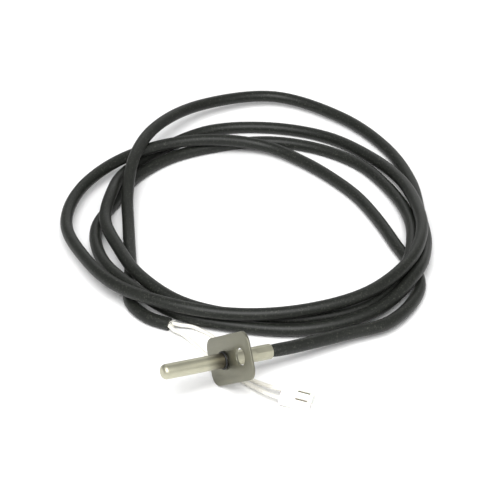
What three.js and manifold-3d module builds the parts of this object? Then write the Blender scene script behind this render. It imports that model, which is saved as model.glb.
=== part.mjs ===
// Flange-mounted boiler sensor probe with a coiled two-core cable and a two-way connector.
// Millimetres, +Z up. The probe lies on a table: its flange stands on one corner, its closed
// tip points along +X and rises a little, and the cable runs off behind it in loose turns.

import * as THREE from 'three';
import * as BufferGeometryUtils from 'three/addons/utils/BufferGeometryUtils.js';
import Module from 'manifold-3d';

const wasm = await Module();
wasm.setup();

// ---------- driving dimensions ----------

// sheath: thin stainless tube with a closed, rounded front end and a crimped rear end
const sheathDiameter = 6.0;
const sheathWall = 0.25;
const tipLength = 27.6;              // flange face to the end of the closed tip
const tipRounding = 1.9;
const rearLength = 19.9;             // flange back to the crimped rear end
const crimpLength = 7.0;
const crimpFlats = 8;
const crimpAcross = 5.7;             // across the flats of the crimp

// flange plate
const flangeLength = 35.0;
const flangeWidth = 19.2;
const flangeThickness = 0.9;
const flangeCorner = 5.0;
const tubeOffset = 4.5;              // tube centre to plate centre
const screwOffset = 8.9;             // plate centre to screw hole centre
const screwHole = 6.9;

// seal and braze rings around the sheath
const ringThickness = 0.8;
const ringOuter = 7.4;
const brazeOuter = 8.0;
const brazeLength = 0.9;

// sensing element inside the tip
const beadDiameter = 2.0;
const beadLength = 3.6;
const leadWire = 0.4;
const leadSleeve = 1.0;
const leadSpread = 0.75;             // each lead's distance from the sheath's centre line
const spliceDiameter = 1.5;
const spliceLength = 4.0;
const coreDiameter = 1.6;
const coreSpread = 1.15;

// stations along the sheath for what is sealed inside it
const beadFrom = 22.0;
const beadTo = beadFrom + beadLength;
const spliceFrom = 3.0;
const spliceTo = spliceFrom + spliceLength;
const sleeveFrom = 8.5;
const sleeveTo = 20.5;
const fillingFrom = 15.5;
const linerFrom = -2.0;
const linerTo = 9.0;
const tailFrom = -13.3;
const sealFrom = -12.9;
const sealTo = -10.6;

// cable and its two cores
const cableDiameter = 5.4;
const jacketDiameter = 5.0;          // the jacket's solid, slimmer so that its turns stay apart
const stubDiameter = 4.7;            // the jacket where the crimp squeezes it
const stubLength = 6.5;
const gap = 0.3;                     // clearance between pieces that touch
const coreMetal = 0.7;

// connector
const pitch = 4.5;
const housingLength = 12.5;
const housingWidth = 8.7;
const housingHeight = 3.6;
const cavityWidth = 3.1;
const cavityHeight = 2.2;
const slotFrom = -0.1;               // latch slots in the top, over each cavity
const slotTo = 4.8;
const slotWidth = 1.2;
const terminalFrom = -3.6;
const terminalTo = 5.0;
const terminalWidth = 2.4;
const terminalHeight = 1.6;
const terminalWall = 0.25;
const insulationTo = -4.0;           // where each lead's insulation is stripped
const conductorTo = -0.4;

// attitude of the probe on the table
const probeTilt = THREE.MathUtils.degToRad(8.6);
const probeRoll = THREE.MathUtils.degToRad(38.0);
const probeHeading = THREE.MathUtils.degToRad(4.0);

// attitude of the connector: heading, nose-down pitch and roll
const connectorHeading = THREE.MathUtils.degToRad(139);
const connectorPitch = THREE.MathUtils.degToRad(6);
const connectorRoll = THREE.MathUtils.degToRad(4);
const connectorPlace = [-24.5, 17.4];

// ---------- the cable's way over the table ----------

// out of the crimp and down to the table, turning towards the coil
const cableStart = [[-34.5, -5.3, 9], [-60.2, -7.7, 6]];

// the coil: at every step of its angle the cable's reach from the middle and its height
const coilMiddle = [-63.3, -102.2];
const coilFrom = 100;
const coilStep = 20;
const coilTurns = [
  [95, 5], [84, 2.7], [62, 2.7], [53, 2.7], [50, 2.7], [50, 3], [54, 3.5], [61, 5], [64, 8],
  [70, 8.5], [76, 8], [81, 7], [83, 7], [81, 8], [82, 9.5], [81, 10.5], [79, 9.5], [79, 10],

  [80, 11], [78, 12], [74, 11], [71, 8.5], [72, 6], [75, 4], [80, 3], [82, 2.7], [82, 2.7],
  [76, 2.7], [72, 3.5], [66, 8.5], [66, 8], [65, 8], [69, 8], [73, 6.5], [74, 5], [77, 4],

  [80, 4.5], [76, 7.5], [70, 6.5], [67, 4], [66, 3], [68, 2.7], [69, 2.7], [69, 2.7], [67, 2.7],
  [67, 2.7], [66, 2.7], [65, 2.7], [70, 3.5], [73, 5], [76, 7.5], [78, 4.5], [79, 3.5], [84, 4],

  [86, 5.5], [82, 8], [76, 4.5], [73, 3], [78, 2.7], [87, 3], [98, 4], [107, 5.5], [97, 8.5],
  [80, 13], [67, 13], [59, 8], [56, 5],
];

// off the coil, back to the left and round to the cut end
const cableEnd = [[-0.3, -93.7, 3], [4.2, -83.2, 2.7], [9.7, -69.2, 2.7], [7.2, -56.2, 2.7], [1.2, -48.2, 2.7]];

// the two cores from the cut end of the jacket towards the connector
const leadRoutes = {
  a: [[0, -48.3, 2.7], [-3.4, -45.8, 2.4], [-7.1, -43.9, 1.8], [-10.2, -39.9, 1.1],
    [-12.2, -35.5, 0.9], [-13.5, -28.5, 0.9], [-13.8, -19.5, 0.9], [-13.8, -10.8, 0.9],
    [-13.9, -3.3, 1.3]],
  b: [[1.7, -47.2, 2.7], [0.8, -43.9, 2.4], [-1.4, -40.2, 2], [-3.2, -34.9, 1.2],
    [-4.5, -27.8, 0.9], [-6, -20.4, 0.9], [-7.8, -13.3, 0.9], [-9.6, -7, 1],
    [-11.4, -1, 1.5]],
};

// ---------- materials ----------

const finish = {
  stainless: { color: 0xaaaa98, roughness: 0.35, metalness: 1.0 },
  plate: { color: 0x96967f, roughness: 0.4, metalness: 1.0 },
  braze: { color: 0x9a9484, roughness: 0.5, metalness: 1.0 },
  blackRubber: { color: 0x191911, roughness: 0.7, metalness: 0.0 },
  cableRubber: { color: 0x2d302d, roughness: 0.75, metalness: 0.0 },
  whiteInsulation: { color: 0xe4e2d6, roughness: 0.5, metalness: 0.0 },
  whitePolyamide: { color: 0xf0efe6, roughness: 0.45, metalness: 0.0 },
  tinnedBrass: { color: 0xbfb9a4, roughness: 0.3, metalness: 1.0 },
  tinnedCopper: { color: 0xb8a898, roughness: 0.35, metalness: 1.0 },
  glass: { color: 0x6a5040, roughness: 0.15, metalness: 0.0 },
  fibreSleeve: { color: 0xd8d2c0, roughness: 0.8, metalness: 0.0 },
  sealant: { color: 0x3c3836, roughness: 0.6, metalness: 0.0 },
};

// ---------- helpers ----------

function piece(name, geometry, finishName) {
  const mesh = new THREE.Mesh(geometry, new THREE.MeshStandardMaterial(finish[finishName]));
  mesh.name = name;
  return mesh;
}

// a closed geometry as a manifold solid
function solid(geometry) {
  const bare = geometry.clone();
  bare.deleteAttribute('normal');
  bare.deleteAttribute('uv');
  const merged = BufferGeometryUtils.mergeVertices(bare, 1e-4);
  return new wasm.Manifold(new wasm.Mesh({
    numProp: 3,
    vertProperties: new Float32Array(merged.attributes.position.array),
    triVerts: new Uint32Array(merged.index.array),
  }));
}

function geometryOf(manifold) {
  const mesh = manifold.getMesh();
  const geometry = new THREE.BufferGeometry();
  geometry.setAttribute('position', new THREE.BufferAttribute(mesh.vertProperties, 3));
  geometry.setIndex(new THREE.BufferAttribute(mesh.triVerts, 1));
  return geometry;
}

// a bar along x from one station to another, round or with a few flats
function barAlongX(diameter, from, to, sides, y = 0, z = 0) {
  const geometry = new THREE.CylinderGeometry(diameter / 2, diameter / 2, to - from, sides);
  geometry.rotateZ(-Math.PI / 2);
  geometry.translate((from + to) / 2, y, z);
  return geometry;
}

function blockAlongX(from, to, width, height, y = 0, z = 0) {
  const geometry = new THREE.BoxGeometry(to - from, width, height);
  geometry.translate((from + to) / 2, y, z);
  return geometry;
}

// a ring or cup turned about the x axis from [x, radius] points
function turnedAboutX(profile, sides) {
  const points = profile.map(([x, radius]) => new THREE.Vector2(radius, x));
  const geometry = new THREE.LatheGeometry(points, sides);
  geometry.rotateZ(-Math.PI / 2);
  return geometry;
}

// a round bar swept along a smooth curve through the points
function sweptBar(points, diameter, sides, steps) {
  const section = new THREE.Shape();
  section.absarc(0, 0, diameter / 2, 0, 2 * Math.PI, false);
  const curve = new THREE.CatmullRomCurve3(points, false, 'centripetal');
  return new THREE.ExtrudeGeometry(section, {
    extrudePath: curve,
    steps,
    curveSegments: sides / 2,
    bevelEnabled: false,
  });
}

// ---------- sheath ----------

function makeSheath() {
  const outer = sheathDiameter / 2;
  const inner = outer - sheathWall;
  const crimpFrom = -flangeThickness - rearLength;
  const crimpTo = crimpFrom + crimpLength;
  const shoulder = 1.2;
  const crimpOuter = crimpAcross / 2 / Math.cos(Math.PI / crimpFlats);
  const crimpInner = stubDiameter / 2 + gap;
  const profile = [[crimpTo, outer]];
  const capSteps = 5;
  for (let i = 0; i <= capSteps; i += 1) {
    const angle = (i / capSteps) * Math.PI / 2;
    profile.push([
      tipLength - tipRounding + tipRounding * Math.sin(angle),
      outer - tipRounding + tipRounding * Math.cos(angle),
    ]);
  }
  profile.push([tipLength, 0]);
  profile.push([tipLength - sheathWall, 0]);
  profile.push([tipLength - sheathWall, inner - tipRounding]);
  profile.push([tipLength - tipRounding, inner]);
  profile.push([crimpTo + shoulder, inner]);
  profile.push([crimpTo, crimpInner]);
  const barrel = solid(turnedAboutX([...profile, [crimpTo, outer]], 24));
  const crimpBar = solid(barAlongX(crimpOuter * 2, crimpFrom, crimpTo + 0.2, crimpFlats));
  const crimpBore = solid(barAlongX(crimpInner * 2, crimpFrom - 1, crimpTo + 0.5, 16));
  return piece('probe_sheath', geometryOf(barrel.add(crimpBar.subtract(crimpBore))), 'stainless');
}

// ---------- flange, seal ring and braze ----------

// the plate lies in the y-z plane with its front face at x = 0 and its length along y
function makeFlange() {
  const halfLength = flangeLength / 2;
  const halfWidth = flangeWidth / 2;
  const r = flangeCorner;
  const outline = new THREE.Shape();
  outline.moveTo(-halfLength + r, -halfWidth);
  outline.absarc(halfLength - r, -halfWidth + r, r, -Math.PI / 2, 0, false);
  outline.absarc(halfLength - r, halfWidth - r, r, 0, Math.PI / 2, false);
  outline.absarc(-halfLength + r, halfWidth - r, r, Math.PI / 2, Math.PI, false);
  outline.absarc(-halfLength + r, -halfWidth + r, r, Math.PI, Math.PI * 1.5, false);
  const tubeHole = new THREE.Path();
  tubeHole.absarc(-tubeOffset, 0, sheathDiameter / 2 + gap, 0, Math.PI * 2, true);
  const screw = new THREE.Path();
  screw.absarc(screwOffset, 0, screwHole / 2, 0, Math.PI * 2, true);
  outline.holes.push(tubeHole, screw);
  const plate = new THREE.ExtrudeGeometry(outline, {
    depth: flangeThickness,
    curveSegments: 8,
    bevelEnabled: false,
  });
  // the outline's x and y become the part's y and z, its thickness runs from x = 0 back to -x
  plate.translate(tubeOffset, 0, -flangeThickness);
  plate.applyMatrix4(new THREE.Matrix4().makeBasis(
    new THREE.Vector3(0, 1, 0), new THREE.Vector3(0, 0, 1), new THREE.Vector3(1, 0, 0)));
  return piece('flange_plate', plate, 'plate');
}

function makeRings() {
  const bore = sheathDiameter / 2 + gap / 3;
  const sealOuter = ringOuter / 2;
  const front = ringThickness + gap;
  const seal = turnedAboutX([
    [gap, bore], [gap, sealOuter], [ringThickness, sealOuter],
    [front, (bore + sealOuter) / 2], [ringThickness, bore], [gap, bore],
  ], 24);
  const brazeFrom = -flangeThickness - gap - brazeLength;
  const brazeTo = -flangeThickness - gap;
  const braze = turnedAboutX([
    [brazeFrom, bore], [brazeFrom, bore + 0.25], [brazeTo, brazeOuter / 2],
    [brazeTo, bore], [brazeFrom, bore],
  ], 24);
  return [piece('sealing_ring', seal, 'blackRubber'), piece('braze_ring', braze, 'braze')];
}

// ---------- sensing element ----------

// one side of the element: lead wire, its sleeve, the splice and the tail of the cable core
function makeElementSide(letter, side) {
  const y = side * leadSpread;
  const wire = piece(`thermistor_lead_${letter}`,
    barAlongX(leadWire, spliceTo + gap, beadFrom - gap, 8, y), 'tinnedCopper');
  const tube = solid(barAlongX(leadSleeve, sleeveFrom, sleeveTo, 16, y));
  const bore = solid(barAlongX(leadWire + gap, sleeveFrom - 1, sleeveTo + 1, 12, y));
  const sleeve = piece(`lead_sleeve_${letter}`, geometryOf(tube.subtract(bore)), 'fibreSleeve');
  const splice = piece(`splice_${letter}`,
    barAlongX(spliceDiameter, spliceFrom, spliceTo, 12, side * coreSpread), 'tinnedBrass');
  const tail = piece(`core_tail_${letter}`,
    barAlongX(coreDiameter, tailFrom, spliceFrom - gap, 12, side * coreSpread), 'whiteInsulation');
  return [wire, sleeve, splice, tail];
}

function makeBead() {
  const bead = new THREE.CapsuleGeometry(beadDiameter / 2, beadLength - beadDiameter, 4, 16);
  bead.rotateZ(Math.PI / 2);
  bead.translate((beadFrom + beadTo) / 2, 0, 0);
  return piece('thermistor_bead', bead, 'glass');
}

// filler paste in the tip, open at the rear where the two sleeved leads come out
function makeFilling() {
  const radius = sheathDiameter / 2 - sheathWall - gap;
  const fillingTo = tipLength - sheathWall - gap;
  let filling = solid(turnedAboutX([
    [fillingFrom, 0], [fillingFrom, radius], [tipLength - tipRounding - gap, radius],
    [fillingTo, radius - tipRounding], [fillingTo, 0],
  ], 20));
  filling = filling.subtract(
    solid(barAlongX(beadDiameter + gap * 2, beadFrom - gap * 2, beadTo + gap, 16)));
  for (const side of [-1, 1]) {
    filling = filling.subtract(
      solid(barAlongX(leadSleeve + gap, fillingFrom - 1, beadFrom, 12, side * leadSpread)));
  }
  return piece('tip_filling', geometryOf(filling), 'sealant');
}

function makeInsulatingSleeve() {
  const outer = sheathDiameter / 2 - sheathWall - 0.15;
  const inner = outer - 0.3;
  return piece('insulating_sleeve', turnedAboutX([
    [linerFrom, inner], [linerFrom, outer], [linerTo, outer], [linerTo, inner], [linerFrom, inner],
  ], 24), 'fibreSleeve');
}

function makeEndSeal() {
  let plug = solid(barAlongX(sheathDiameter - sheathWall * 2 - gap, sealFrom, sealTo, 20));
  for (const side of [-1, 1]) {
    const hole = barAlongX(coreDiameter + gap, sealFrom - 1, sealTo + 1, 14, side * coreSpread);
    plug = plug.subtract(solid(hole));
  }
  return piece('end_seal', geometryOf(plug), 'sealant');
}

// ---------- the probe, turned to its attitude on the table ----------

const probe = new THREE.Group();
probe.name = 'probe';
probe.add(
  makeSheath(),
  makeFlange(),
  ...makeRings(),
  makeFilling(),
  makeBead(),
  ...makeElementSide('a', 1),
  ...makeElementSide('b', -1),
  makeInsulatingSleeve(),
  makeEndSeal(),
);
probe.rotation.set(probeRoll, -probeTilt, probeHeading, 'ZYX');
probe.updateMatrixWorld(true);
const extent = new THREE.Box3().setFromObject(probe, true);
const middle = extent.getCenter(new THREE.Vector3());
probe.position.set(-middle.x, -middle.y, -extent.min.z);
probe.updateMatrixWorld(true);

// ---------- cable ----------

function coilPoint([reach, height], index) {
  const angle = THREE.MathUtils.degToRad(coilFrom + index * coilStep);
  const x = coilMiddle[0] + reach * Math.cos(angle);
  const y = coilMiddle[1] + reach * Math.sin(angle);
  return [x, y, height];
}

function makeCable() {
  const crimpEnd = -flangeThickness - rearLength;
  const exit = probe.localToWorld(new THREE.Vector3(crimpEnd - 0.5, 0, 0));
  const route = [...cableStart, ...coilTurns.map(coilPoint), ...cableEnd];
  const points = [exit, ...route.map((point) => new THREE.Vector3(...point))];
  const jacket = solid(sweptBar(points, jacketDiameter, 8, 116));
  const stubBar = barAlongX(stubDiameter, crimpEnd - 1.5, crimpEnd + stubLength, 12);
  stubBar.applyMatrix4(probe.matrixWorld);
  return piece('cable_jacket', geometryOf(jacket.add(solid(stubBar))), 'cableRubber');
}

// ---------- connector, terminals and leads ----------

const connector = new THREE.Group();
connector.name = 'connector';

function makeHousing() {
  let body = solid(blockAlongX(-housingLength / 2, housingLength / 2, housingWidth, housingHeight));
  for (const side of [-1, 1]) {
    const y = side * pitch / 2;
    const cavity = blockAlongX(-housingLength, housingLength, cavityWidth, cavityHeight, y);
    const slot = blockAlongX(slotFrom, slotTo, slotWidth, housingHeight, y, housingHeight / 2);
    body = body.subtract(solid(cavity)).subtract(solid(slot));
  }
  return piece('connector_housing', geometryOf(body), 'whitePolyamide');
}

function makeTerminal(letter, side) {
  const y = side * pitch / 2;
  const barrel = solid(blockAlongX(terminalFrom, terminalTo, terminalWidth, terminalHeight, y));
  const inside = solid(blockAlongX(terminalFrom - 1, terminalTo + 1,
    terminalWidth - terminalWall * 2, terminalHeight - terminalWall * 2, y));
  const terminal = piece(`crimp_terminal_${letter}`, geometryOf(barrel.subtract(inside)), 'tinnedBrass');
  const conductor = piece(`conductor_end_${letter}`,
    barAlongX(coreMetal, insulationTo + gap, conductorTo, 10, y), 'tinnedCopper');
  return [terminal, conductor];
}

function makeLead(letter, side) {
  const y = side * pitch / 2;
  const entry = [-housingLength / 2 - 2.5, -housingLength / 2, insulationTo]
    .map((x) => connector.localToWorld(new THREE.Vector3(x, y, 0)));
  const points = [...leadRoutes[letter].map((point) => new THREE.Vector3(...point)), ...entry];
  return piece(`lead_wire_${letter}`, sweptBar(points, coreDiameter, 8, 24), 'whiteInsulation');
}

connector.add(makeHousing(), ...makeTerminal('a', 1), ...makeTerminal('b', -1));
connector.rotation.set(connectorRoll, connectorPitch, connectorHeading, 'ZYX');
connector.updateMatrixWorld(true);
const connectorLow = new THREE.Box3().setFromObject(connector, true).min.z;
connector.position.set(...connectorPlace, -connectorLow);
connector.updateMatrixWorld(true);

// ---------- the whole part ----------

const part = new THREE.Group();
part.name = 'flame_sensor_probe';
part.add(probe, makeCable(), makeLead('a', 1), makeLead('b', -1), connector);

export default part;
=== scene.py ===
# A boiler's flange-mounted sensor probe with its coiled cable, bare leads and plug-in connector.
import math
import random

import bpy
from mathutils import Euler, Matrix, Vector


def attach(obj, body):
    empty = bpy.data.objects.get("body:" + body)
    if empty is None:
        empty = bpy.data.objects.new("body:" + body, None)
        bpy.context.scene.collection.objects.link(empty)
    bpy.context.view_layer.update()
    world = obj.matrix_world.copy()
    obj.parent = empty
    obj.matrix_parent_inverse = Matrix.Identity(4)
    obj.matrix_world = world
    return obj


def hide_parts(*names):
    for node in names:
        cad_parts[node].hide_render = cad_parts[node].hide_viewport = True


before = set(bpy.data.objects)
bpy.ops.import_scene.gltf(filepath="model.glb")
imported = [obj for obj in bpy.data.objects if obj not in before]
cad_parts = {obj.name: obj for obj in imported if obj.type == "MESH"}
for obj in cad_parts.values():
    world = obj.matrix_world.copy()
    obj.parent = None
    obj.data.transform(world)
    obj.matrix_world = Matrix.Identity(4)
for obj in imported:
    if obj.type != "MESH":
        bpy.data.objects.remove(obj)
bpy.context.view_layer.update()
bpy.ops.object.select_all(action="DESELECT")
MM = 0.001


# ---------------------------------------------------------------- camera
# A long lens looks down at the table past the coil, with the probe and its connector in front.
VIEW_AZIMUTH = math.radians(154.9)
VIEW_HEIGHT = math.radians(34.0)
VIEW_DISTANCE = 867.7 * MM
VIEW_MIDDLE = Vector((-53.4, -87.0, 0.0)) * MM

right = Vector((math.cos(VIEW_AZIMUTH), math.sin(VIEW_AZIMUTH), 0.0))
away = Vector((-math.sin(VIEW_AZIMUTH), math.cos(VIEW_AZIMUTH), 0.0))
up = Vector((0.0, 0.0, 1.0))


def in_view(to_right, to_back, height):
    """A point given in metres to the right of, beyond and above the middle of the view."""
    return VIEW_MIDDLE + right * to_right + away * to_back + up * height


bpy.ops.object.camera_add(
    location=in_view(0, -VIEW_DISTANCE * math.cos(VIEW_HEIGHT), VIEW_DISTANCE * math.sin(VIEW_HEIGHT)),
    rotation=(math.pi / 2 - VIEW_HEIGHT, 0.0, VIEW_AZIMUTH),
)
camera = bpy.context.object
camera.name = "camera"
camera.data.lens = 144.0
camera.data.sensor_width = 36.0
bpy.context.scene.camera = camera


# ---------------------------------------------------------------- cable
# A round two-core cable in a matte black-grey rubber jacket. It leaves the crimp, runs down to
# the table, lies in loose turns on itself and ends in a cut where the two cores come out.
CABLE = 5.4 * MM
CABLE_STEP = 3.5 * MM
CRIMPED_CABLE = 4.7 * MM
CRIMPED_LENGTH = 4.5
CRIMP_END = -20.8
PROBE_AT = Vector((-3.205, -3.477, 13.531)) * MM
PROBE_TILT = math.radians(8.6)
PROBE_ROLL = math.radians(38.0)
PROBE_HEADING = math.radians(4.0)
probe_place = (
    Matrix.Translation(PROBE_AT)
    @ Euler((PROBE_ROLL, -PROBE_TILT, PROBE_HEADING), "XYZ").to_matrix().to_4x4()
)

CABLE_START = [(-34.5, -5.3, 9), (-60.2, -7.7, 6)]
COIL_MIDDLE = (-63.3, -102.2)
COIL_FROM = 100
COIL_STEP = 20
# at every step of its angle round the coil: the cable's reach from the middle and its height
COIL_TURNS = [
    (95, 5), (84, 2.7), (62, 2.7), (53, 2.7), (50, 2.7), (50, 3), (54, 3.5), (61, 5), (64, 8),
    (70, 8.5), (76, 8), (81, 7), (83, 7), (81, 8), (82, 9.5), (81, 10.5), (79, 9.5), (79, 10),

    (80, 11), (78, 12), (74, 11), (71, 8.5), (72, 6), (75, 4), (80, 3), (82, 2.7), (82, 2.7),
    (76, 2.7), (72, 3.5), (66, 8.5), (66, 8), (65, 8), (69, 8), (73, 6.5), (74, 5), (77, 4),

    (80, 4.5), (76, 7.5), (70, 6.5), (67, 4), (66, 3), (68, 2.7), (69, 2.7), (69, 2.7), (67, 2.7),
    (67, 2.7), (66, 2.7), (65, 2.7), (70, 3.5), (73, 5), (76, 7.5), (78, 4.5), (79, 3.5), (84, 4),

    (86, 5.5), (82, 8), (76, 4.5), (73, 3), (78, 2.7), (87, 3), (98, 4), (107, 5.5), (97, 8.5),
    (80, 13), (67, 13), (59, 8), (56, 5),
]
CABLE_END = [
    (-0.3, -93.7, 3), (4.2, -83.2, 2.7), (9.7, -69.2, 2.7), (7.2, -56.2, 2.7), (1.2, -48.2, 2.7),
]


def smooth_route(points, step):
    """Points about a step apart on the centripetal Catmull-Rom curve through the given ones."""
    ends = [points[0] * 2 - points[1], *points, points[-1] * 2 - points[-2]]
    route = []
    for p0, p1, p2, p3 in zip(ends, ends[1:], ends[2:], ends[3:]):
        before, here, after = (
            math.sqrt(max((b - a).length, 1e-9)) for a, b in ((p0, p1), (p1, p2), (p2, p3))
        )
        leave = ((p1 - p0) / before - (p2 - p0) / (before + here) + (p2 - p1) / here) * here
        arrive = ((p2 - p1) / here - (p3 - p1) / (here + after) + (p3 - p2) / after) * here
        count = max(1, round((p2 - p1).length / step))
        for i in range(count):
            t = i / count
            route.append(
                p1 + leave * t + (p2 * 3 - p1 * 3 - leave * 2 - arrive) * t**2
                + (p1 * 2 - p2 * 2 + leave + arrive) * t**3
            )
    return [*route, points[-1]]


def round_cord(name, route, diameter, sides, radii=None):
    """A mesh tube along the route, as thick as the cord and capped at both ends."""
    line = bpy.data.curves.new(name, "CURVE")
    line.dimensions = "3D"
    line.bevel_depth = diameter / 2
    line.bevel_resolution = sides // 2 - 2
    line.use_fill_caps = True
    spline = line.splines.new("POLY")
    spline.points.add(len(route) - 1)
    for i, point in enumerate(route):
        spline.points[i].co = (*point, 1.0)
        spline.points[i].radius = radii[i] if radii else 1.0
    spline.use_smooth = True
    cord = bpy.data.objects.new(name, line)
    bpy.context.collection.objects.link(cord)
    cord.select_set(True)
    bpy.context.view_layer.objects.active = cord
    bpy.ops.object.convert(target="MESH")
    made = bpy.context.object
    made.name = name
    made.select_set(False)
    return made


def coil_point(index, station):
    reach, height = station
    angle = math.radians(COIL_FROM + index * COIL_STEP)
    return (COIL_MIDDLE[0] + reach * math.cos(angle), COIL_MIDDLE[1] + reach * math.sin(angle), height)


def on_probe(x, y=0.0, z=0.0):
    """A point given in millimetres in the probe's own axes: x to the tip, y along the flange."""
    return probe_place @ (Vector((x, y, z)) * MM)


cable_points = [on_probe(CRIMP_END - 0.5)]
cable_points += [
    Vector(point) * MM
    for point in [*CABLE_START, *(coil_point(i, s) for i, s in enumerate(COIL_TURNS)), *CABLE_END]
]
in_the_crimp = [on_probe(CRIMP_END + CRIMPED_LENGTH - 0.5 * i) for i in range(10)]
cable_route = in_the_crimp + smooth_route(cable_points, CABLE_STEP)
# the crimp squeezes the cable, and it is back to its own size two points further on
last_squeezed = len(in_the_crimp) - 1
squeeze = [
    1.0 - (1.0 - CRIMPED_CABLE / CABLE) * min(1.0, max(0.0, 1.0 - (i - last_squeezed) / 2.0))
    for i in range(len(cable_route))
]
cable = round_cord("cable", cable_route, CABLE, sides=16, radii=squeeze)

# the two cores, bare of the jacket, lie on the table and rise into the connector
LEAD = 1.6 * MM
LEAD_STEP = 1.5 * MM
LEAD_STRAIGHT = 2.5
PITCH = 4.5
HOUSING = Vector((12.5, 8.7, 3.6))
STRIPPED_AT = -4.0
connector_place = (
    Matrix.Translation(Vector((-24.5, 17.4, 2.741)) * MM)
    @ Euler((math.radians(4), math.radians(6), math.radians(139)), "XYZ").to_matrix().to_4x4()
)
LEAD_ROUTES = {
    "a": [(0, -48.3, 2.7), (-3.4, -45.8, 2.4), (-7.1, -43.9, 1.8), (-10.2, -39.9, 1.1),
          (-12.2, -35.5, 0.9), (-13.5, -28.5, 0.9), (-13.8, -19.5, 0.9), (-13.8, -10.8, 0.9),
          (-13.9, -3.3, 1.3)],
    "b": [(1.7, -47.2, 2.7), (0.8, -43.9, 2.4), (-1.4, -40.2, 2), (-3.2, -34.9, 1.2),
          (-4.5, -27.8, 0.9), (-6, -20.4, 0.9), (-7.8, -13.3, 0.9), (-9.6, -7, 1),
          (-11.4, -1, 1.5)],
}
leads = {}
for letter, side in (("a", 1), ("b", -1)):
    lead_points = [Vector(point) * MM for point in LEAD_ROUTES[letter]]
    lead_points += [
        connector_place @ (Vector((x, side * PITCH / 2, 0.0)) * MM)
        for x in (-HOUSING.x / 2 - LEAD_STRAIGHT, -HOUSING.x / 2, STRIPPED_AT)
    ]
    lead_route = smooth_route(lead_points, LEAD_STEP)
    leads[letter] = round_cord("lead_" + letter, lead_route, LEAD, sides=12)
    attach(leads[letter], "root")
    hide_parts("lead_wire_" + letter)

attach(cable, "root")
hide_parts("cable_jacket")


def linear(hex_colour):
    """An sRGB hex colour as a linear colour with full alpha."""
    channels = [int(hex_colour[i:i + 2], 16) / 255 for i in (0, 2, 4)]
    return (*[c / 12.92 if c <= 0.04045 else ((c + 0.055) / 1.055) ** 2.4 for c in channels], 1.0)


def add_node(tree, kind, inputs=None, **settings):
    """Adds a node with its settings, and links or sets its inputs by name."""
    node = tree.nodes.new(kind)
    for name, value in settings.items():
        setattr(node, name, value)
    for name, value in (inputs or {}).items():
        if isinstance(value, bpy.types.NodeSocket):
            tree.links.new(value, node.inputs[name])
        else:
            node.inputs[name].default_value = value
    return node


def new_material(name, **shader):
    """A material with its tree, its shader and its object coordinates."""
    made = bpy.data.materials.new(name)
    made.use_nodes = True
    tree = made.node_tree
    surface = tree.nodes["Principled BSDF"]
    for socket, value in shader.items():
        surface.inputs[socket.replace("_", " ")].default_value = value
    return made, tree, surface, add_node(tree, "ShaderNodeTexCoord").outputs["Object"]


def noise(tree, place, scale, detail=2.0, roughness=0.5):
    """A noise texture's value."""
    made = add_node(tree, "ShaderNodeTexNoise", {
        "Vector": place, "Scale": scale, "Detail": detail, "Roughness": roughness})
    return made.outputs["Fac"]


def two_tones(tree, factor, dark, light):
    """A mix of two sRGB hex colours."""
    mix = add_node(tree, "ShaderNodeMix", {"Factor": factor}, data_type="RGBA")
    mix.inputs["A"].default_value = linear(dark)
    mix.inputs["B"].default_value = linear(light)
    return mix.outputs["Result"]


def feed(tree, surface, **values):
    """Links values to the shader's sockets."""
    for socket, value in values.items():
        tree.links.new(value, surface.inputs[socket.replace("_", " ")])


def ranged(tree, value, low, high):
    """A value from 0 to 1 spread between two limits."""
    made = add_node(tree, "ShaderNodeMapRange", {"Value": value, "To Min": low, "To Max": high})
    return made.outputs["Result"]


def relief(tree, height, strength, depth):
    """A bump normal, with its depth in metres."""
    made = add_node(tree, "ShaderNodeBump", {
        "Height": height, "Strength": strength, "Distance": depth})
    return made.outputs["Normal"]


# EPDM-like rubber, extruded: dark grey, matte with a soft sheen, and dusty from the box
rubber, tree, surface, place = new_material("extruded_rubber", Specular_IOR_Level=0.3)
dust = noise(tree, place, 1500.0, 3.0)
flecks = add_node(tree, "ShaderNodeValToRGB", {"Fac": dust})
flecks.color_ramp.elements[0].position = 0.56
flecks.color_ramp.elements[0].color = (0, 0, 0, 1)
flecks.color_ramp.elements[1].position = 0.74
flecks.color_ramp.elements[1].color = (1, 1, 1, 1)
ground = two_tones(tree, noise(tree, place, 90.0), "131512", "1d1f1b")
tone = add_node(tree, "ShaderNodeMix", {
    "Factor": flecks.outputs["Color"], "A": ground}, data_type="RGBA")
tone.inputs["B"].default_value = linear("3f413a")
feed(tree, surface, Base_Color=tone.outputs["Result"], Roughness=ranged(tree, dust, 0.36, 0.58),
     Normal=relief(tree, dust, 0.45, 0.00005))
cable.data.materials.append(rubber)

# PVC core insulation, extruded: soft white, a little glossy, greyer where it was handled
core_white, tree, surface, place = new_material("white_pvc", Roughness=0.42)
feed(tree, surface, Base_Color=two_tones(tree, noise(tree, place, 260.0, 3.0), "f4f2ea", "dcd9cd"))
for lead in leads.values():
    lead.data.materials.append(core_white)


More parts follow.
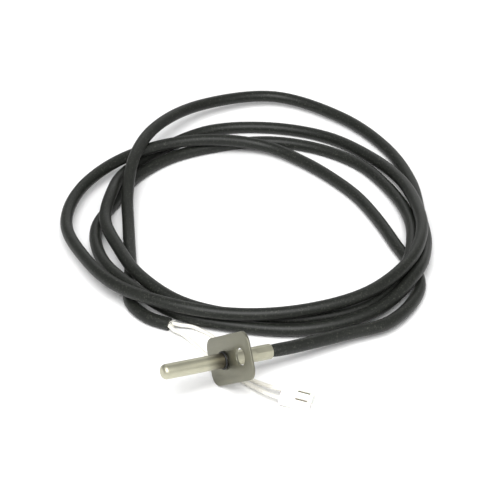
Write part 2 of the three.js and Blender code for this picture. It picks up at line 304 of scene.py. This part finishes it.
# ---------------------------------------------------------------- filler at the cut end
# White cotton filler runs beside the cores and stands out a little, frayed, where the jacket
# was cut off.
STRAND = 0.34 * MM
STRANDS = 11
STRAND_TAPER = [1.0, 0.95, 0.85, 0.7, 0.4]
random.seed(7)
cut_end = Vector(CABLE_END[-1]) * MM
cut_way = (cut_end - cable_route[-3]).normalized()
cut_side = cut_way.cross(up).normalized()
strands = []
for i in range(STRANDS):
    turn = 2 * math.pi * i / STRANDS
    spread = random.uniform(0.4, 1.7) * MM
    foot = cut_end - cut_way * 0.4 * MM + (cut_side * math.cos(turn) + up * math.sin(turn)) * spread
    lean = cut_side * random.uniform(-1.2, 1.2) + up * random.uniform(-0.7, 0.5)
    reach = random.uniform(1.4, 3.4) * MM
    strand_route = [
        foot + cut_way * reach * t + lean * MM * t**2 for t in (0.0, 0.25, 0.5, 0.75, 1.0)
    ]
    strands.append(round_cord("strand", strand_route, STRAND, sides=8, radii=STRAND_TAPER))
for strand in strands:
    strand.select_set(True)
bpy.context.view_layer.objects.active = strands[0]
bpy.ops.object.join()
filler = bpy.context.object
filler.name = "jacket_filler"
filler.data.materials.clear()
filler.data.materials.append(core_white)
bpy.ops.object.select_all(action="DESELECT")
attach(filler, "root")


# ---------------------------------------------------------------- sheath
# A thin drawn stainless tube with a spun closed tip. Its rear end is pressed onto the cable in
# a crimp with flats all round.
SHEATH = 3.0
TIP = 27.6
TIP_ROUND = 1.9
CRIMP_FROM = -13.8
CRIMP_FLATS = 8
CRIMP_HALF = 2.84


def turned(name, profile, sides):
    """A ring of edges stretched from station to station of (x, radius) and turned to lie along x."""
    x, radius = profile[0]
    bpy.ops.mesh.primitive_circle_add(vertices=sides, radius=radius * MM, location=(0, 0, x * MM))
    made = bpy.context.object
    made.name = name
    bpy.ops.object.transform_apply()
    bpy.ops.object.mode_set(mode="EDIT")
    bpy.ops.mesh.select_all(action="SELECT")
    for (x0, r0), (x1, r1) in zip(profile, profile[1:]):
        bpy.ops.mesh.extrude_region_move(TRANSFORM_OT_translate={"value": (0, 0, (x1 - x0) * MM)})
        if r1 != r0:
            bpy.ops.transform.resize(value=(r1 / r0, r1 / r0, 1), center_override=(0, 0, x1 * MM))
    bpy.ops.object.mode_set(mode="OBJECT")
    return made


def close_ends(made):
    """Merges what meets, fills open ends and points every face outwards."""
    bpy.ops.object.mode_set(mode="EDIT")
    bpy.ops.mesh.select_all(action="SELECT")
    bpy.ops.mesh.remove_doubles(threshold=0.005 * MM)
    bpy.ops.mesh.select_all(action="DESELECT")
    bpy.ops.mesh.select_mode(type="EDGE")
    bpy.ops.mesh.select_non_manifold(extend=False, use_wire=False, use_multi_face=False,
                                     use_non_contiguous=False, use_verts=False)
    bpy.ops.mesh.edge_face_add()
    bpy.ops.mesh.select_all(action="SELECT")
    bpy.ops.mesh.normals_make_consistent(inside=False)
    bpy.ops.mesh.select_mode(type="VERT")
    bpy.ops.object.mode_set(mode="OBJECT")


def settle(made, matrix, angle=32):
    """Puts a finished piece in its place in its own mesh, smooths it and lets go of it."""
    made.data.transform(matrix)
    bpy.ops.object.shade_smooth_by_angle(angle=math.radians(angle))
    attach(made, "root")
    bpy.ops.object.select_all(action="DESELECT")


along_probe = probe_place @ Matrix.Rotation(math.pi / 2, 4, "Y")
sheath_profile = [(CRIMP_END + 3.0, SHEATH - 0.34), (CRIMP_END + 0.1, SHEATH - 0.34),
                  (CRIMP_END, SHEATH - 0.28), (CRIMP_END, SHEATH - 0.1), (CRIMP_END + 0.12, SHEATH)]
sheath_profile += [(CRIMP_END + 0.5 + 0.5 * i, SHEATH) for i in range(13)]
sheath_profile += [(CRIMP_FROM + 0.2 * i, SHEATH) for i in range(6)]
sheath_profile += [(x, SHEATH) for x in (-8.0, -2.0, 4.0, 10.0, 16.0, 22.0)]
for i in range(9):
    bend = i / 8 * math.pi / 2
    sheath_profile.append((
        TIP - TIP_ROUND + TIP_ROUND * math.sin(bend),
        SHEATH - TIP_ROUND + TIP_ROUND * math.cos(bend),
    ))
sheath_profile += [(TIP, 0.6), (TIP, 0.02)]
sheath = turned("sheath", sheath_profile, 96)
for vertex in sheath.data.vertices:
    station = vertex.co.z / MM
    radius = math.hypot(vertex.co.x, vertex.co.y) / MM
    if station > CRIMP_FROM + 0.8 or radius < SHEATH - 0.2:
        continue
    slice_angle = 2 * math.pi / CRIMP_FLATS
    off_flat = (math.atan2(vertex.co.y, vertex.co.x) + slice_angle) % slice_angle - slice_angle / 2
    pressed = min(radius + 0.04, CRIMP_HALF / math.cos(off_flat))
    depth = min(1.0, max(0.0, (CRIMP_FROM + 0.8 - station) / 0.8))
    depth = depth * depth * (3 - 2 * depth)
    reshaped = 1 + depth * (pressed / radius - 1)
    vertex.co.x *= reshaped
    vertex.co.y *= reshaped
close_ends(sheath)
settle(sheath, along_probe, angle=14)
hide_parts("probe_sheath")


def in_probe_axes(tree, place):
    """Object coordinates turned so that x runs along the sheath and y along the flange."""
    turn = add_node(tree, "ShaderNodeVectorRotate", {
        "Vector": place, "Rotation": (PROBE_ROLL, -PROBE_TILT, PROBE_HEADING),
    }, rotation_type="EULER_XYZ", invert=True)
    return turn.outputs["Vector"]


# stainless steel, drawn: satin grey with fine lines along it and faint handling marks
stainless, tree, surface, place = new_material("drawn_stainless", Metallic=1.0)
line_up = add_node(tree, "ShaderNodeMapping", {
    "Vector": in_probe_axes(tree, place), "Scale": (40.0, 2600.0, 2600.0)})
lines = noise(tree, line_up.outputs["Vector"], 1.0)
steel = two_tones(tree, noise(tree, place, 220.0, 4.0), "aeac98", "c6c4b0")
# the tube is darkened where it leaves the flange: partly a heat tint from brazing, partly a painted
# reflection of the dark plate and seal ring
probe_way = probe_place.to_3x3() @ Vector((1, 0, 0))
flange_at = PROBE_AT.dot(probe_way)
station = add_node(
    tree, "ShaderNodeVectorMath", {0: place, 1: probe_way}, operation="DOT_PRODUCT"
).outputs["Value"]
# fades out the painted reflection and heat tint along the tube, away from the flange
tint_and_reflection_fade = add_node(tree, "ShaderNodeMapRange", {
    "Value": station, "From Min": flange_at + 2 * MM, "From Max": flange_at + 10.5 * MM,
    "To Min": 0.95, "To Max": 0.0}, interpolation_type="SMOOTHSTEP")
tube_tone = add_node(tree, "ShaderNodeMix", {
    "Factor": tint_and_reflection_fade.outputs["Result"], "A": steel}, data_type="RGBA")
tube_tone.inputs["B"].default_value = linear("5b5649")
past_flange = add_node(tree, "ShaderNodeMath", {0: station, 1: flange_at}, operation="GREATER_THAN")
sheath_tone = add_node(tree, "ShaderNodeMix", {
    "Factor": past_flange.outputs["Value"], "A": steel, "B": tube_tone.outputs["Result"],
}, data_type="RGBA")
feed(tree, surface, Base_Color=sheath_tone.outputs["Result"],
     Roughness=ranged(tree, lines, 0.4, 0.52), Normal=relief(tree, lines, 0.2, 0.00002))
sheath.data.materials.append(stainless)


# ---------------------------------------------------------------- flange
# A stamped steel plate with rounded corners. The sheath goes through a punched hole off its
# middle, and one screw through the other hole holds the probe to the boiler.
PLATE = Vector((35.0, 19.2, 0.9))
PLATE_CORNER = 5.0
PLATE_OFFSET = 4.5
SCREW_OFFSET = 8.9
SCREW_HOLE = 6.9
SHEATH_HOLE = 2 * SHEATH + 0.3


def use_modifier(made, kind, **settings):
    """Adds a modifier and applies it."""
    modifier = made.modifiers.new(kind.lower(), kind)
    for name, value in settings.items():
        setattr(modifier, name, value)
    bpy.context.view_layer.objects.active = made
    bpy.ops.object.modifier_apply(modifier=modifier.name)


def soften_edges(made, width):
    """Rounds the piece's sharp edges over."""
    use_modifier(made, "BEVEL", width=width, segments=3, limit_method="ANGLE",
                 angle_limit=math.radians(50))


def cut_away(made, cutter):
    """Takes the cutter's shape out of a piece, and removes the cutter."""
    use_modifier(made, "BOOLEAN", operation="DIFFERENCE", solver="EXACT", object=cutter)
    bpy.data.objects.remove(cutter, do_unlink=True)
    bpy.ops.object.select_all(action="DESELECT")
    made.select_set(True)


bpy.ops.mesh.primitive_plane_add(size=1.0)
plate = bpy.context.object
plate.name = "flange"
plate.scale = (PLATE.x * MM, PLATE.y * MM, 1.0)
bpy.ops.object.transform_apply()
bpy.ops.object.mode_set(mode="EDIT")
bpy.ops.mesh.select_all(action="SELECT")
bpy.ops.mesh.bevel(offset=PLATE_CORNER * MM, segments=14, affect="VERTICES")
bpy.ops.mesh.select_all(action="SELECT")
bpy.ops.mesh.extrude_region_move(TRANSFORM_OT_translate={"value": (0, 0, -PLATE.z * MM)})
bpy.ops.mesh.select_all(action="SELECT")
bpy.ops.mesh.normals_make_consistent(inside=False)
bpy.ops.object.mode_set(mode="OBJECT")
for hole_at, hole_size in ((-PLATE_OFFSET, SHEATH_HOLE), (SCREW_OFFSET, SCREW_HOLE)):
    bpy.ops.mesh.primitive_cylinder_add(vertices=96, radius=hole_size / 2 * MM, depth=4 * MM,
                                        location=(hole_at * MM, 0, 0))
    cut_away(plate, bpy.context.object)
soften_edges(plate, 0.16 * MM)
# the plate's length lies along the probe's y and its front faces the tip
plate_axes = Matrix(((0, 0, 1, 0), (1, 0, 0, 0), (0, 1, 0, 0), (0, 0, 0, 1)))
settle(plate, probe_place @ plate_axes @ Matrix.Translation((PLATE_OFFSET * MM, 0, 0)))
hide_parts("flange_plate")

# cold-rolled stainless sheet, stamped: satin, cool grey with an olive cast, lightly scuffed
sheet, tree, surface, place = new_material("stamped_sheet", Metallic=1.0)
rolled = add_node(tree, "ShaderNodeMapping", {
    "Vector": in_probe_axes(tree, place), "Scale": (900.0, 60.0, 1800.0)})
grain = noise(tree, rolled.outputs["Vector"], 1.0, 3.0)
stains = noise(tree, place, 130.0, 5.0, 0.6)
feed(tree, surface, Base_Color=two_tones(tree, stains, "737266", "8c8b7c"),
     Roughness=ranged(tree, stains, 0.34, 0.56), Normal=relief(tree, grain, 0.15, 0.00003))
plate.data.materials.append(sheet)


# ---------------------------------------------------------------- seal ring and braze
# A black ring seal pushed down the sheath against the plate, and behind the plate the fillet
# that brazes it to the sheath.
seal_profile = [
    (0.3, 3.1), (0.95, 3.1), (1.08, 3.2), (1.1, 3.4), (1.0, 3.58),
    (0.8, 3.68), (0.45, 3.68), (0.3, 3.6), (0.3, 3.1),
]
seal = turned("seal_ring", seal_profile, 72)
close_ends(seal)
settle(seal, along_probe)
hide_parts("sealing_ring")
nitrile, tree, surface, place = new_material("moulded_nitrile", Roughness=0.55)
feed(tree, surface, Base_Color=two_tones(tree, noise(tree, place, 900.0), "0b0b0a", "151513"))
seal.data.materials.append(nitrile)

braze_profile = [
    (-2.1, 3.08), (-2.1, 3.16), (-1.8, 3.3), (-1.5, 3.55),
    (-1.3, 3.8), (-1.2, 4.0), (-1.2, 3.08), (-2.1, 3.08),
]
braze = turned("braze_fillet", braze_profile, 72)
random.seed(11)
waves = [(random.uniform(0, 6.28), random.uniform(0.01, 0.03)) for _ in range(5)]
for vertex in braze.data.vertices:
    angle = math.atan2(vertex.co.y, vertex.co.x)
    if math.hypot(vertex.co.x, vertex.co.y) > 3.12 * MM:
        swell = 1 - sum(
            size * (1 + math.sin((n + 2) * angle + phase)) / 4
            for n, (phase, size) in enumerate(waves)
        )
        vertex.co.x *= swell
        vertex.co.y *= swell
close_ends(braze)
settle(braze, along_probe)
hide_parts("braze_ring")
braze_metal, tree, surface, place = new_material("silver_braze", Metallic=1.0, Roughness=0.48)
feed(tree, surface, Base_Color=two_tones(tree, noise(tree, place, 700.0, 4.0), "6f6a5e", "a49c88"))
braze.data.materials.append(braze_metal)


# ---------------------------------------------------------------- connector housing
# A moulded white polyamide shell with two ways through it. A slot over each way shows the
# terminal's latch.
CAVITY = Vector((3.1, 2.2))
SLOT_FROM, SLOT_TO, SLOT_WIDTH = -0.1, 4.8, 1.2
PAST_ENDS = 9.0
bpy.ops.mesh.primitive_cube_add(size=1.0)
housing = bpy.context.object
housing.name = "connector_shell"
housing.scale = HOUSING * MM
bpy.ops.object.transform_apply()


def box_cutter(low, high):
    """A box between two corners, in millimetres."""
    middle = [(a + b) / 2 * MM for a, b in zip(low, high)]
    bpy.ops.mesh.primitive_cube_add(size=1.0, location=middle)
    bpy.context.object.scale = [(b - a) * MM for a, b in zip(low, high)]
    bpy.ops.object.transform_apply()
    return bpy.context.object


for side in (-1, 1):
    y = side * PITCH / 2
    cut_away(housing, box_cutter(
        (-PAST_ENDS, y - CAVITY.x / 2, -CAVITY.y / 2), (PAST_ENDS, y + CAVITY.x / 2, CAVITY.y / 2)
    ))
    cut_away(housing, box_cutter(
        (SLOT_FROM, y - SLOT_WIDTH / 2, 0), (SLOT_TO, y + SLOT_WIDTH / 2, HOUSING.z)
    ))
for side in (-1, 1):
    # a shallow step along each upper edge guides the shell into its header
    low = (-3.5, side * HOUSING.y / 2 - 0.3, 0.8)
    high = (PAST_ENDS, side * HOUSING.y / 2 + 0.3, 3)
    cut_away(housing, box_cutter(low, high))
soften_edges(housing, 0.14 * MM)
settle(housing, connector_place)
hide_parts("connector_housing")
polyamide, tree, surface, place = new_material(
    "moulded_polyamide", Roughness=0.38, Subsurface_Weight=0.08, Subsurface_Scale=0.001
)
feed(tree, surface, Base_Color=two_tones(tree, noise(tree, place, 180.0), "f7f6f1", "ecebe3"),
     Normal=relief(tree, noise(tree, place, 4000.0), 0.1, 0.00002))
housing.data.materials.append(polyamide)


# ---------------------------------------------------------------- terminals and inner pieces
# Tinned brass terminals sit in the shell. The bead, its leads, sleeves, splices, filler and end
# seal are sealed in the sheath, out of sight, and keep their shapes.
# for every material: dark tone, light tone, metallic, roughness, and the CAD nodes it is on
INNER = {
    "tinned_brass": (
        "b3ab95", "cfc9b8", 1.0, 0.32,
        ("crimp_terminal_a", "crimp_terminal_b", "splice_a", "splice_b"),
    ),
    "tinned_copper": (
        "b39c88", "cbbba8", 1.0, 0.36,
        ("conductor_end_a", "conductor_end_b", "thermistor_lead_a", "thermistor_lead_b"),
    ),
    "glass_bead": ("553c2e", "7c5b47", 0.0, 0.12, ("thermistor_bead",)),
    "woven_glass_sleeve": (
        "cdc6b3", "e2dccb", 0.0, 0.8, ("lead_sleeve_a", "lead_sleeve_b", "insulating_sleeve"),
    ),
    "cast_filler": ("35312f", "474240", 0.0, 0.6, ("tip_filling", "end_seal")),
    "tail_insulation": ("dcd9cd", "f0eee6", 0.0, 0.45, ("core_tail_a", "core_tail_b")),
}
for name, (dark, light, metallic, roughness, nodes) in INNER.items():
    material, tree, surface, place = new_material(name, Metallic=metallic, Roughness=roughness)
    feed(tree, surface, Base_Color=two_tones(tree, noise(tree, place, 600.0, 3.0), dark, light))
    for node in nodes:
        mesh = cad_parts[node].data
        mesh.materials.clear()
        mesh.materials.append(material)


# ---------------------------------------------------------------- table and light
# A white table under a large soft light above the viewer, with a fill beside it and a low
# light behind that draws the rims.
bpy.ops.mesh.primitive_plane_add(size=6.0, location=VIEW_MIDDLE)
table = bpy.context.object
table.name = "table"
table_white, tree, surface, place = new_material("white_table", Roughness=0.9, Specular_IOR_Level=0.1)
surface.inputs["Base Color"].default_value = (0.93, 0.93, 0.93, 1.0)
table.data.materials.append(table_white)
bpy.ops.object.select_all(action="DESELECT")


def soft_light(name, at, aim, size, power):
    """A rectangular softbox that faces a point."""
    bpy.ops.object.light_add(type="AREA", location=at)
    light = bpy.context.object
    light.name = name
    light.data.shape = "RECTANGLE"
    light.data.size, light.data.size_y = size
    light.data.energy = power
    light.rotation_euler = (Vector(aim) - Vector(at)).to_track_quat("-Z", "Z").to_euler()


soft_light("overhead", in_view(-0.12, -0.8, 1.15), in_view(0, 0, 0), (1.0, 0.8), 24)
soft_light("front_fill", in_view(0.6, -1.1, 0.9), in_view(0, 0, 0), (1.4, 0.9), 6)
soft_light("back", in_view(0.2, 1.6, 0.7), in_view(0, 0, 0), (1.8, 0.6), 5)

world = bpy.data.worlds.new("studio")
world.use_nodes = True
world.node_tree.nodes["Background"].inputs["Color"].default_value = (1.0, 1.0, 1.0, 1.0)
world.node_tree.nodes["Background"].inputs["Strength"].default_value = 0.36
bpy.context.scene.world = world
bpy.context.scene.view_settings.view_transform = "Standard"

bpy.context.view_layer.update()
